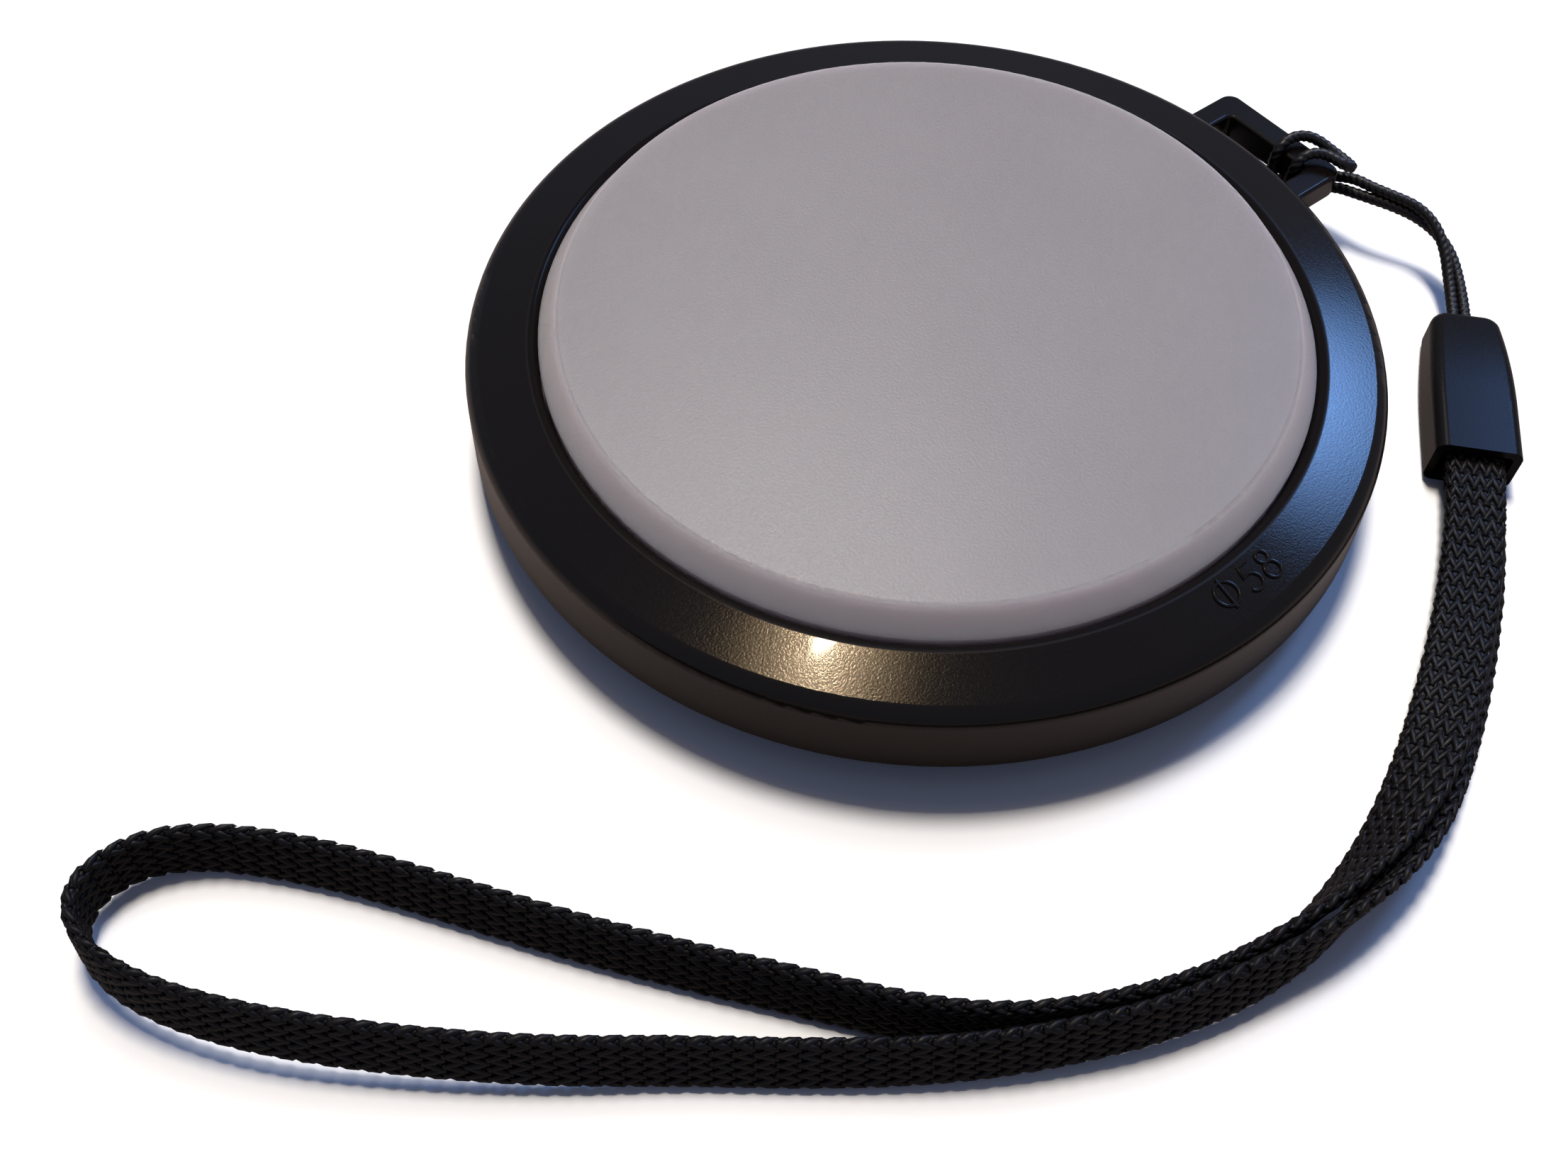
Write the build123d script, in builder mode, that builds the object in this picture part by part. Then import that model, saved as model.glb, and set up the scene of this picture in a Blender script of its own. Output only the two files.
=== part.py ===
import os
from math import cos, radians, sin, tan

from build123d import *

# Lens fit: the rear collar snaps into a filter thread
thread_size = 58.0
thread_pitch = 0.75
thread_depth_factor = 1.0825
thread_crest_radius = (thread_size - thread_depth_factor * thread_pitch) / 2

# Rear collar with spring fingers
collar_clearance = 0.2
collar_radius = thread_crest_radius - collar_clearance
collar_reach = 3.0
collar_wall = 1.1
collar_tip_chamfer = 0.3
finger_count = 12
finger_gap = 2.0
bead_height = 0.4
bead_land = 0.6
bead_ramp = 0.35
bead_setback = 1.0
bead_radius = collar_radius + bead_height

# Bezel ring, with its rear face on the plane z = 0
bezel_overhang = 4.05
bezel_draft = 0.25
bezel_wall = 1.65
bezel_side_height = 5.25
bezel_face_width = 5.45
bezel_face_rise = 0.85
bezel_face_wall = 1.35
bezel_edge_round = 1.3
bezel_lip_round = 0.7
bezel_radius = thread_size / 2 + bezel_overhang
bezel_inner_radius = bezel_radius - bezel_wall
bezel_opening_radius = bezel_radius - bezel_face_width
bezel_lip_height = bezel_side_height + bezel_face_rise
bezel_underside = bezel_side_height - bezel_face_wall

# White diffuser disc, trapped between the bezel and the clip ring
diffuser_clearance = 0.1
diffuser_wall = 1.3
diffuser_skirt_drop = 0.15
diffuser_bevel_rise = 1.85
diffuser_bevel_run = 1.4
diffuser_edge_round = 0.45
diffuser_flange_clearance = 1.0
diffuser_flange_thickness = 1.2
diffuser_radius = bezel_opening_radius - diffuser_clearance
diffuser_bevel_start = bezel_lip_height - diffuser_skirt_drop
diffuser_top = diffuser_bevel_start + diffuser_bevel_rise
diffuser_flange_radius = bezel_inner_radius - diffuser_flange_clearance
diffuser_flange_rear = bezel_underside - diffuser_flange_thickness

# Clip ring, pressed into the bezel from behind
clip_recess = 0.2
clip_clearance = 0.1
clip_flange_thickness = 1.2
clip_flange_step = 0.6
clip_rim_width = 2.0
snap_bite = 0.25
snap_height = 0.8
clip_radius = bezel_inner_radius - clip_clearance
clip_flange_inner_radius = collar_radius - collar_wall - clip_flange_step
clip_flange_top = clip_recess + clip_flange_thickness
snap_middle = clip_recess + clip_flange_thickness / 2

# Strap lug on the bezel's side, towards +X
lug_overhang = 5.5
lug_width = 12.3
lug_thickness = 2.2
lug_rear = 1.2
lug_bar = 2.2
lug_arm = 2.1
lug_slot_inset = 0.45
lug_root_round = 1.0
lug_edge_round = 0.3
lug_slot_corner_round = 0.5
lug_reach = bezel_radius + lug_overhang
lug_slot_start = bezel_radius + lug_slot_inset
lug_slot_end = lug_reach - lug_bar

# The table that the cap and its strap lie on
table = -collar_reach

# Flat band of the wrist strap, and the thin cord
strap_width = 4.3
strap_thickness = 0.9
strap_layer_gap = 0.3
strap_layer_pitch = strap_thickness + strap_layer_gap
strap_stack = strap_layer_pitch + strap_thickness
cord_diameter = 0.8
bend_share = 0.45

# Moulded connector between the thin cord and the wrist strap
connector_mouth = (26.8, -30.4)
connector_turn = 42.5
connector_length = 14.4
connector_straight = 5.0
connector_wall = 0.6
connector_neck_width = 4.9
connector_neck_round = 1.3
connector_neck_height = 3.2
connector_side_round = 0.8
connector_mouth_clearance = 0.3
connector_mouth_round = 0.4
connector_mouth_depth = 8.0
connector_bore_clearance = 0.15
connector_bore_depth = 1.3
connector_bore_height = 1.8
connector_mouth_width = strap_width + 2 * connector_mouth_clearance
connector_mouth_height = strap_stack + 2 * connector_mouth_clearance
connector_width = connector_mouth_width + 2 * connector_wall
connector_height = connector_mouth_height + 2 * connector_wall
connector_bore_thickness = cord_diameter + 2 * connector_bore_clearance
connector_bore_width = connector_bore_thickness + cord_diameter

# The thin cord's way from the connector, round the lug's outer bar as a hitch, and back
cord_route = [
    (36.17, -21.21, -1.2),
    (38.3, -19.25, -1.2),
    (40.05, -17.1, -0.55),
    (41.15, -15.4, 0.5),
    (41.85, -13.5, 1.35),
    (41.75, -11.6, 1.9),
    (40.95, -9.8, 2.1),
    (40.3, -8.1, 2.15),
    (40.05, -6.5, 2.1),
    (39.8, -4.9, 1.4),
    (39.05, -3.4, 0.65),
    (37.65, -2.3, 0.5),
    (36.25, -1.8, 0.6),
    (35.7, -1.6, 1.6),
    (35.7, -1.45, 3.0),
    (36.25, -1.35, 4.0),
    (37.5, -1.4, 4.2),
    (38.65, -2.0, 4.1),
    (39.4, -2.9, 3.8),
    (39.8, -4.0, 3.3),
    (40.0, -5.05, 3.0),
    (39.85, -5.85, 3.1),
    (39.4, -6.35, 3.4),
    (38.8, -6.4, 3.8),
    (38.3, -5.95, 4.1),
    (38.15, -5.15, 4.2),
    (37.9, -4.35, 4.25),
    (37.3, -3.8, 4.25),
    (36.6, -3.5, 4.15),
    (36.0, -3.4, 3.75),
    (35.7, -3.4, 2.9),
    (35.7, -3.35, 1.6),
    (36.25, -3.4, 0.6),
    (37.55, -3.75, 0.45),
    (38.75, -4.6, 0.55),
    (39.35, -5.7, 1.0),
    (39.55, -6.9, 1.25),
    (39.95, -8.4, 1.3),
    (40.8, -10.2, 1.25),
    (41.75, -12.0, 0.9),
    (42.25, -13.9, 0.3),
    (42.1, -15.9, -0.25),
    (40.95, -17.7, -0.75),
    (38.89, -19.91, -1.2),
    (36.76, -21.86, -1.2),
]

# Middle of the strap's doubled stretch: x, y and the roll from lying flat to standing on edge
strap_stations = [
    (21.7, -34.7, 0),
    (14.3, -39.6, 4),
    (6.3, -44.0, 20),
    (-0.5, -46.7, 48),
    (-7.0, -47.7, 74),
]
# The strap's loop, which stands on edge, out along its far side and back along its near side
strap_loop_route = [
    (-13.2, -46.8),
    (-18.1, -45.75),
    (-23.0, -43.7),
    (-27.7, -41.0),
    (-31.8, -37.1),
    (-35.4, -32.6),
    (-39.8, -27.3),
    (-44.5, -21.3),
    (-48.5, -15.7),
    (-52.4, -10.3),
    (-56.0, -6.0),
    (-59.6, -2.6),
    (-63.2, -0.9),
    (-66.6, -1.5),
    (-68.2, -4.3),
    (-67.3, -8.0),
    (-64.8, -11.9),
    (-61.0, -16.4),
    (-55.6, -21.8),
    (-49.6, -27.0),
    (-43.7, -31.4),
    (-38.9, -35.1),
    (-34.4, -38.4),
    (-29.8, -41.5),
    (-25.3, -43.95),
    (-19.9, -46.35),
    (-13.2, -48.0),
]


def bend_radii(points):
    radii = []
    for before, corner, after in zip(points, points[1:], points[2:]):
        turn = radians((corner - before).get_angle(after - corner))
        shorter_run = min((corner - before).length, (after - corner).length)
        radii.append(bend_share * shorter_run / tan(turn / 2))
    return radii


def report_route(name, length, area, part, radii):
    print(name, "length", round(length, 2), "radii", [round(radius, 1) for radius in radii])
    print(name, "volume", round(part.volume, 2), "section times length", round(area * length, 2))


os.makedirs("parts", exist_ok=True)

# Strap lug: a slotted plate that grows out of a ring inside the bezel's wall
with BuildPart() as strap_lug:
    with BuildSketch(Plane.XY.offset(lug_rear)) as lug_plan:
        Circle(bezel_radius - bezel_draft)
        with Locations((lug_reach / 2, 0)):
            Rectangle(lug_reach, lug_width)
        lug_roots = lug_plan.vertices().group_by(Axis.X)[-2]
        fillet(lug_roots, radius=lug_root_round)
        with Locations(((lug_slot_start + lug_slot_end) / 2, 0)):
            RectangleRounded(
                lug_slot_end - lug_slot_start,
                lug_width - 2 * lug_arm,
                lug_slot_corner_round,
                mode=Mode.SUBTRACT,
            )
        Circle(bezel_inner_radius + bezel_wall / 3, mode=Mode.SUBTRACT)
    extrude(amount=lug_thickness)
    lug_levels = strap_lug.edges().group_by(Axis.Z)
    fillet(lug_levels[0] + lug_levels[-1], radius=lug_edge_round)

# Bezel: a moulded ring with a sloping face, and the strap lug in one piece with it
with BuildPart() as bezel:
    with BuildSketch(Plane.XZ) as bezel_section:
        with BuildLine():
            Polyline(
                (bezel_inner_radius, 0),
                (bezel_radius, 0),
                (bezel_radius - bezel_draft, bezel_side_height),
                (bezel_opening_radius, bezel_lip_height),
                (bezel_opening_radius, bezel_underside),
                (bezel_inner_radius, bezel_underside),
                close=True,
            )
        make_face()
        rim = bezel_section.vertices().sort_by_distance((bezel_radius, bezel_side_height))[0]
        fillet(rim, radius=bezel_edge_round)
        lip = bezel_section.vertices().sort_by_distance((bezel_opening_radius, bezel_lip_height))[0]
        fillet(lip, radius=bezel_lip_round)
    revolve(axis=Axis.Z)
    with BuildSketch(Plane.XZ):
        with BuildLine():
            Polyline(
                (bezel_inner_radius - snap_bite, snap_middle - snap_height / 2 - snap_bite),
                (bezel_inner_radius + snap_bite, snap_middle),
                (bezel_inner_radius - snap_bite, snap_middle + snap_height / 2 + snap_bite),
                close=True,
            )
        make_face()
    revolve(axis=Axis.Z, mode=Mode.SUBTRACT)
    add(strap_lug.part)

# Diffuser: a shallow moulded pan with a bevelled edge and a flange under the bezel's lip
with BuildPart() as diffuser:
    bevel_offset = diffuser_wall * diffuser_bevel_rise / (diffuser_bevel_rise + diffuser_bevel_run)
    with BuildSketch(Plane.XZ) as diffuser_section:
        with BuildLine():
            Polyline(
                (0, diffuser_top),
                (diffuser_radius - diffuser_bevel_run, diffuser_top),
                (diffuser_radius, diffuser_bevel_start),
                (diffuser_radius, bezel_underside),
                (diffuser_flange_radius, bezel_underside),
                (diffuser_flange_radius, diffuser_flange_rear),
                (diffuser_radius - diffuser_wall, diffuser_flange_rear),
                (diffuser_radius - diffuser_wall, diffuser_bevel_start - bevel_offset),
                (diffuser_radius - diffuser_bevel_run - bevel_offset, diffuser_top - diffuser_wall),
                (0, diffuser_top - diffuser_wall),
                close=True,
            )
        make_face()
        plateau_edge = diffuser_section.vertices().sort_by_distance(
            (diffuser_radius - diffuser_bevel_run, diffuser_top)
        )[0]
        fillet(plateau_edge, radius=diffuser_edge_round)
    revolve(axis=Axis.Z)

# Clip ring: a flange that closes the bezel, a rim that holds the diffuser, and the snap collar
with BuildPart() as clip_ring:
    bead_start = table + bead_setback
    with BuildSketch(Plane.XZ):
        with BuildLine():
            Polyline(
                (collar_radius - collar_wall, table),
                (collar_radius - collar_tip_chamfer, table),
                (collar_radius, table + collar_tip_chamfer),
                (collar_radius, bead_start - bead_ramp),
                (bead_radius, bead_start),
                (bead_radius, bead_start + bead_land),
                (collar_radius, bead_start + bead_land + bead_ramp),
                (collar_radius, clip_recess),
                (clip_radius, clip_recess),
                (clip_radius, snap_middle - snap_height / 2 + clip_clearance),
                (clip_radius + snap_bite, snap_middle),
                (clip_radius, snap_middle + snap_height / 2 - clip_clearance),
                (clip_radius, clip_flange_top),
                (diffuser_flange_radius, clip_flange_top),
                (diffuser_flange_radius, diffuser_flange_rear),
                (diffuser_flange_radius - clip_rim_width, diffuser_flange_rear),
                (diffuser_flange_radius - clip_rim_width, clip_flange_top),
                (clip_flange_inner_radius, clip_flange_top),
                (clip_flange_inner_radius, clip_recess),
                (collar_radius - collar_wall, clip_recess),
                close=True,
            )
        make_face()
    revolve(axis=Axis.Z)
    with BuildSketch(Plane.XY.offset(table)):
        with PolarLocations(collar_radius, finger_count):
            Rectangle(4 * collar_wall, finger_gap)
    extrude(amount=collar_reach + clip_recess, mode=Mode.SUBTRACT)

# Connector: a tapered moulding with a wide mouth for the strap and a slot for the thin cord
connector_base = Plane((*connector_mouth, table)).rotated((0, 0, connector_turn))
connector_side = Plane(connector_base.origin, x_dir=connector_base.x_dir, z_dir=-connector_base.y_dir)
connector_back = Plane(connector_base.origin, x_dir=connector_base.y_dir, z_dir=connector_base.x_dir)
with BuildPart() as strap_connector:
    with BuildSketch(connector_base) as connector_plan:
        with BuildLine():
            side_line = Line((0, connector_width / 2), (connector_straight, connector_width / 2))
            neck_corner = (connector_length, connector_neck_width / 2)
            taper = TangentArc(side_line @ 1, neck_corner, tangent=side_line % 1)
            Line(taper @ 1, (connector_length, 0))
            Line((connector_length, 0), (0, 0))
            Line((0, 0), side_line @ 0)
        make_face()
        mirror(about=Plane.XZ)
        fillet(connector_plan.vertices().sort_by_distance((0, 0))[-2:], radius=connector_neck_round)
    extrude(amount=connector_height)
    with BuildSketch(connector_side):
        with BuildLine():
            top_line = Line((0, connector_height), (connector_straight, connector_height))
            neck_top = (connector_length, connector_neck_height)
            slope = TangentArc(top_line @ 1, neck_top, tangent=top_line % 1)
            Polyline(slope @ 1, (connector_length, 0), (0, 0), top_line @ 0)
        make_face()
    extrude(amount=connector_width, both=True, mode=Mode.INTERSECT)
    mouth_rim = strap_connector.faces().sort_by(Axis(connector_base.origin, connector_base.x_dir))[0]
    rounded_edges = strap_connector.edges().filter_by(Axis.Z, reverse=True) - mouth_rim.edges()
    fillet(rounded_edges, radius=connector_side_round)
    with BuildSketch(connector_back):
        with Locations((0, connector_height / 2)):
            RectangleRounded(connector_mouth_width, connector_mouth_height, connector_mouth_round)
    extrude(amount=connector_mouth_depth, mode=Mode.SUBTRACT)
    with BuildSketch(connector_back.offset(connector_length)):
        with Locations((0, connector_bore_height)):
            SlotOverall(connector_bore_width, connector_bore_thickness)
    extrude(amount=-connector_bore_depth, mode=Mode.SUBTRACT)

# Thin cord: one length, hitched round the bar of the lug
cord_points = [Vector(point) for point in cord_route]
cord_radii = bend_radii(cord_points)
with BuildPart() as lug_cord:
    with BuildLine() as cord_line:
        FilletPolyline(*cord_points, radius=cord_radii)
    cord_wire = cord_line.wires()[0]
    with BuildSketch(Plane(cord_wire @ 0, z_dir=cord_wire % 0)) as cord_section:
        Circle(cord_diameter / 2)
    sweep(path=cord_wire)
report_route("lug_cord", cord_wire.length, cord_section.sketch.area, lug_cord.part, cord_radii)

# Wrist strap: the loop on edge, then both layers rolling over to lie flat in the connector
strap_seat = connector_base.from_local_coords(Vector(connector_mouth_depth, 0, 0))
layer_stations = [
    (strap_seat.X, strap_seat.Y, 0, connector_height / 2),
    (*connector_mouth, 0, connector_height / 2),
]
for x, y, roll in strap_stations:
    rise = strap_width / 2 * sin(radians(roll))
    layer_stations.append((x, y, roll, rise + strap_stack / 2 * cos(radians(roll))))
loop_points = [Vector(x, y, table + strap_width / 2) for x, y in strap_loop_route]
loop_radii = bend_radii(loop_points)


def layer_planes(side, loop_end, loop_heading):
    planes = []
    places = [Vector(x, y) for x, y, roll, height in layer_stations]
    places.append(Vector(loop_end.X, loop_end.Y))
    for i, (x, y, roll, height) in enumerate(layer_stations):
        heading = (places[i + 1] - places[max(i - 1, 0)]).normalized()
        across = Vector(heading.Y, -heading.X) * sin(radians(roll))
        normal = across + Vector(0, 0, cos(radians(roll)))
        centre = Vector(x, y, table + height) + normal * (side * strap_layer_pitch / 2)
        planes.append(Plane(centre, x_dir=normal, z_dir=heading))
    planes.append(Plane(loop_end, x_dir=(loop_heading.Y, -loop_heading.X, 0), z_dir=loop_heading))
    return planes


with BuildPart() as wrist_strap:
    with BuildLine() as loop_line:
        FilletPolyline(*loop_points, radius=loop_radii)
    loop_wire = loop_line.wires()[0]
    strap_length = loop_wire.length
    far_layer = layer_planes(1, loop_wire @ 0, loop_wire % 0)
    near_layer = layer_planes(-1, loop_wire @ 1, -(loop_wire % 1))
    with BuildSketch(far_layer[-1]) as strap_section:
        Rectangle(strap_thickness, strap_width)
    sweep(path=loop_wire)
    for layer in (far_layer, near_layer):
        for start, end in zip(layer, layer[1:]):
            for plane in (start, end):
                with BuildSketch(plane):
                    Rectangle(strap_thickness, strap_width)
            loft(ruled=True)
            strap_length += (end.origin - start.origin).length
report_route("wrist_strap", strap_length, strap_section.sketch.area, wrist_strap.part, loop_radii)

bezel.part.label = "bezel"
export_step(bezel.part, "parts/bezel.step")
diffuser.part.label = "diffuser"
export_step(diffuser.part, "parts/diffuser.step")
clip_ring.part.label = "clip_ring"
export_step(clip_ring.part, "parts/clip_ring.step")
strap_connector.part.label = "strap_connector"
export_step(strap_connector.part, "parts/strap_connector.step")
lug_cord.part.label = "lug_cord"
export_step(lug_cord.part, "parts/lug_cord.step")
wrist_strap.part.label = "wrist_strap"
export_step(wrist_strap.part, "parts/wrist_strap.step")
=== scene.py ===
import math

import bmesh
import bpy
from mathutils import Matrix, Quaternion, Vector


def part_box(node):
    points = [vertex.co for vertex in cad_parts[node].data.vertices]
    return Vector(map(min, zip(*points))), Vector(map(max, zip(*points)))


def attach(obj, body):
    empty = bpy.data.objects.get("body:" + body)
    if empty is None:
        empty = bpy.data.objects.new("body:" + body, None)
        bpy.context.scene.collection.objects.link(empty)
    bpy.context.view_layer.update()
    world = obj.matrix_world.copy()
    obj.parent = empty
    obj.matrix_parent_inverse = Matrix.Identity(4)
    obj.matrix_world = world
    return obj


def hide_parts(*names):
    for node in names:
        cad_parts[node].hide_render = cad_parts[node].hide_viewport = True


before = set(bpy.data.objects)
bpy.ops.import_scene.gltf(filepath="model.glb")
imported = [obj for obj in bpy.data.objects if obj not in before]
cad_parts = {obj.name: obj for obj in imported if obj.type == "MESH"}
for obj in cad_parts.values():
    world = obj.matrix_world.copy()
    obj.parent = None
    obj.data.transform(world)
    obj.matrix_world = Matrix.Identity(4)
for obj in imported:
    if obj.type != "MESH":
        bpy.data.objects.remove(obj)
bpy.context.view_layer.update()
scene = bpy.context.scene
mm = 0.001
splineSteps = 6  # points read from a cord's spline, for each point of its route
noiseSpan = (0.3, 0.7)  # where most of a noise's values lie
print("frame loaded:", ", ".join(sorted(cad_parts)))


# node building, used by the materials and by the geometry trees

def put(tree, kind, inputs=None, **settings):
    made = tree.nodes.new(kind)
    for name, value in settings.items():
        setattr(made, name, value)
    for name, value in (inputs or {}).items():
        if isinstance(value, bpy.types.NodeSocket):
            tree.links.new(value, made.inputs[name])
        else:
            made.inputs[name].default_value = value
    return made


def calc(tree, operation, first, second=0.0):
    return put(tree, "ShaderNodeMath", {0: first, 1: second}, operation=operation).outputs[0]


def vectorCalc(tree, operation, first, second=(0.0, 0.0, 0.0)):
    return put(tree, "ShaderNodeVectorMath", {0: first, 1: second}, operation=operation).outputs[0]


def stretch(tree, vector, amount):
    return put(tree, "ShaderNodeVectorMath", {0: vector, "Scale": amount}, operation="SCALE").outputs[0]


def lengthOf(tree, vector):
    return put(tree, "ShaderNodeVectorMath", {0: vector}, operation="LENGTH").outputs["Value"]


def combine(tree, x=0.0, y=0.0, z=0.0):
    return put(tree, "ShaderNodeCombineXYZ", {0: x, 1: y, 2: z}).outputs[0]


def split(tree, vector):
    return put(tree, "ShaderNodeSeparateXYZ", {0: vector}).outputs


def ramp(tree, value, start, end, low=0.0, high=1.0):
    return put(tree, "ShaderNodeMapRange", {0: value, 1: start, 2: end, 3: low, 4: high}).outputs[0]


def noise(tree, vector, scale, detail):
    return put(tree, "ShaderNodeTexNoise", {
        "Vector": vector, "Scale": scale, "Detail": detail,
    }).outputs["Fac"]


def mixColour(tree, share, first, second):
    return put(tree, "ShaderNodeMix", {0: share, 6: first, 7: second}, data_type="RGBA").outputs[2]


def newMaterial(name, **sockets):
    material = bpy.data.materials.new(name)
    material.use_nodes = True
    tree = material.node_tree
    shader = tree.nodes["Principled BSDF"]
    for socket, value in sockets.items():
        shader.inputs[socket.replace("_", " ")].default_value = value
    return material, tree, shader


def wire(tree, shader, colour, roughness, height, depth):
    bump = put(tree, "ShaderNodeBump", {"Height": height, "Distance": depth}).outputs[0]
    for value, socket in ((colour, "Base Color"), (roughness, "Roughness"), (bump, "Normal")):
        tree.links.new(value, shader.inputs[socket])


def newTree(name, **sizes):
    tree = bpy.data.node_groups.new(name, "GeometryNodeTree")
    tree.interface.new_socket("Geometry", in_out="INPUT", socket_type="NodeSocketGeometry")
    tree.interface.new_socket("Geometry", in_out="OUTPUT", socket_type="NodeSocketGeometry")
    kinds = {float: "NodeSocketFloat", int: "NodeSocketInt", bpy.types.Material: "NodeSocketMaterial"}
    for size, value in sizes.items():
        socket = tree.interface.new_socket(size, in_out="INPUT", socket_type=kinds[type(value)])
        socket.default_value = value
    return tree, put(tree, "NodeGroupInput").outputs, put(tree, "NodeGroupOutput").inputs


def growTree(obj, tree, sizes):
    modifier = obj.modifiers.new(tree.name, "NODES")
    modifier.node_group = tree
    for item in tree.interface.items_tree:
        if item.in_out == "INPUT" and item.name in sizes:
            modifier[item.identifier] = sizes[item.name]
    depsgraph = bpy.context.evaluated_depsgraph_get()
    grown = bpy.data.meshes.new_from_object(obj.evaluated_get(depsgraph), depsgraph=depsgraph)
    obj.modifiers.remove(modifier)
    obj.data = grown
    return obj


def keep(tree, geometry, name, value, kind):
    return put(tree, "GeometryNodeStoreNamedAttribute", {
        "Geometry": geometry, "Name": name, "Value": value,
    }, data_type=kind, domain="POINT").outputs[0]


def named(tree, name, kind):
    return put(tree, "GeometryNodeInputNamedAttribute", {"Name": name}, data_type=kind).outputs[0]


def lineOf(tree, mesh):
    return put(tree, "GeometryNodeMeshToCurve", {"Mesh": mesh}).outputs[0]


def ringCurve(tree, sides, radius):
    return put(tree, "GeometryNodeCurvePrimitiveCircle", {
        "Resolution": sides, "Radius": radius,
    }).outputs[0]


def sweep(tree, line, section):
    return put(tree, "GeometryNodeCurveToMesh", {
        "Curve": line, "Profile Curve": section, "Fill Caps": True,
    }).outputs[0]


def closeTree(tree, geometry, material, result):
    smooth = put(tree, "GeometryNodeSetShadeSmooth", {"Geometry": geometry}).outputs[0]
    real = put(tree, "GeometryNodeRealizeInstances", {"Geometry": smooth}).outputs[0]
    dressed = put(tree, "GeometryNodeSetMaterial", {"Geometry": real, "Material": material}).outputs[0]
    tree.links.new(dressed, result[0])
    return tree


def splinePoints(name, route):
    curve = bpy.data.curves.new(name, "CURVE")
    curve.dimensions = "3D"
    curve.resolution_u = splineSteps
    spline = curve.splines.new("NURBS")
    spline.points.add(len(route) - 1)
    for point, place in zip(spline.points, route):
        point.co = (*place, 1.0)
    spline.order_u = 3
    spline.use_endpoint_u = True
    line = bpy.data.objects.new(name, curve)
    scene.collection.objects.link(line)
    depsgraph = bpy.context.evaluated_depsgraph_get()
    mesh = bpy.data.meshes.new_from_object(line.evaluated_get(depsgraph), depsgraph=depsgraph)
    points = [vertex.co.copy() for vertex in mesh.vertices]
    bpy.data.objects.remove(line)
    bpy.data.curves.remove(curve)
    bpy.data.meshes.remove(mesh)
    return points


def pathObject(name, points, edges=None):
    mesh = bpy.data.meshes.new(name)
    mesh.from_pydata(points, edges or [(i, i + 1) for i in range(len(points) - 1)], [])
    made = bpy.data.objects.new(name, mesh)
    scene.collection.objects.link(made)
    return made


def runLength(points):
    return sum((b - a).length for a, b in zip(points, points[1:]))


# camera, as the photograph was taken

photo = {
    "place": (-56.11 * mm, -56.90 * mm, 87.25 * mm),
    "turn": (34.397, -0.205, -37.167),  # degrees
    "lens": 36.0,
    "sensor": 36.0,
}
cameraData = bpy.data.cameras.new("photoCamera")
cameraData.lens = photo["lens"]
cameraData.sensor_width = photo["sensor"]
cameraData.clip_start = 1 * mm
camera = bpy.data.objects.new("photoCamera", cameraData)
camera.location = photo["place"]
camera.rotation_euler = [math.radians(angle) for angle in photo["turn"]]
scene.collection.objects.link(camera)
scene.camera = camera


# plastics

finishes = {
    "bezel": {
        "colour": (0.0028, 0.002, 0.0017), "paler": (0.006, 0.0042, 0.0034), "smooth": 0.1, "rough": 0.17,
        "grainSize": 0.15 * mm, "grainDepth": 0.006 * mm, "cloudSize": 7 * mm,
        "duller": [  # radii between which the roughness rises, and the roughness
            (28.5 * mm, 28.15 * mm, 1.0),  # the lip's edge
            (32.2 * mm, 32.9 * mm, 0.3),  # the wall and the lug
        ],
    },
    "clip_ring": {
        "colour": (0.007, 0.0066, 0.0066), "paler": (0.012, 0.0112, 0.011), "smooth": 0.34, "rough": 0.46,
        "grainSize": 0.2 * mm, "grainDepth": 0.016 * mm, "cloudSize": 5 * mm,
    },
    "strap_connector": {
        "colour": (0.005, 0.0046, 0.005), "paler": (0.009, 0.0082, 0.0088), "smooth": 0.2, "rough": 0.3,
        "grainSize": 0.1 * mm, "grainDepth": 0.005 * mm, "cloudSize": 3 * mm,
    },
    "diffuser": {
        "colour": (0.235, 0.218, 0.222), "paler": (0.3, 0.278, 0.284), "smooth": 0.3, "rough": 0.42,
        "grainSize": 0.2 * mm, "grainDepth": 0.014 * mm, "cloudSize": 11 * mm,
        "edge": (25.9 * mm, 26.3 * mm, (0.48, 0.444, 0.452)),  # radii and colour of a painted glow: the bevel is painted lighter, for light that spreads through the milky plastic
    },
}


def mouldedPlastic(name, finish, **sockets):
    material, tree, shader = newMaterial(name, **sockets)
    place = put(tree, "ShaderNodeTexCoord").outputs["Object"]
    away = lengthOf(tree, vectorCalc(tree, "MULTIPLY", place, (1.0, 1.0, 0.0)))  # from the cap's axis
    cloud = noise(tree, place, 1 / finish["cloudSize"], 4.0)
    grain = noise(tree, place, 1 / finish["grainSize"], 2.0)
    mottle = calc(tree, "MULTIPLY", calc(tree, "ADD", cloud, grain), 0.5)
    tone = mixColour(tree, mottle, (*finish["colour"], 1), (*finish["paler"], 1))
    # painted light: towards the bevel the colour turns lighter, standing in for light that spreads through
    # the plastic
    if "edge" in finish:
        start, end, colour = finish["edge"]
        tone = mixColour(tree, ramp(tree, away, start, end), tone, (*colour, 1))
    shine = ramp(tree, grain, *noiseSpan, finish["smooth"], finish["rough"])
    for start, end, rough in finish.get("duller", []):
        shine = calc(tree, "MAXIMUM", shine, ramp(tree, away, start, end, 0.0, rough))
    wire(tree, shader, tone, shine, grain, finish["grainDepth"])
    return material


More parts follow.
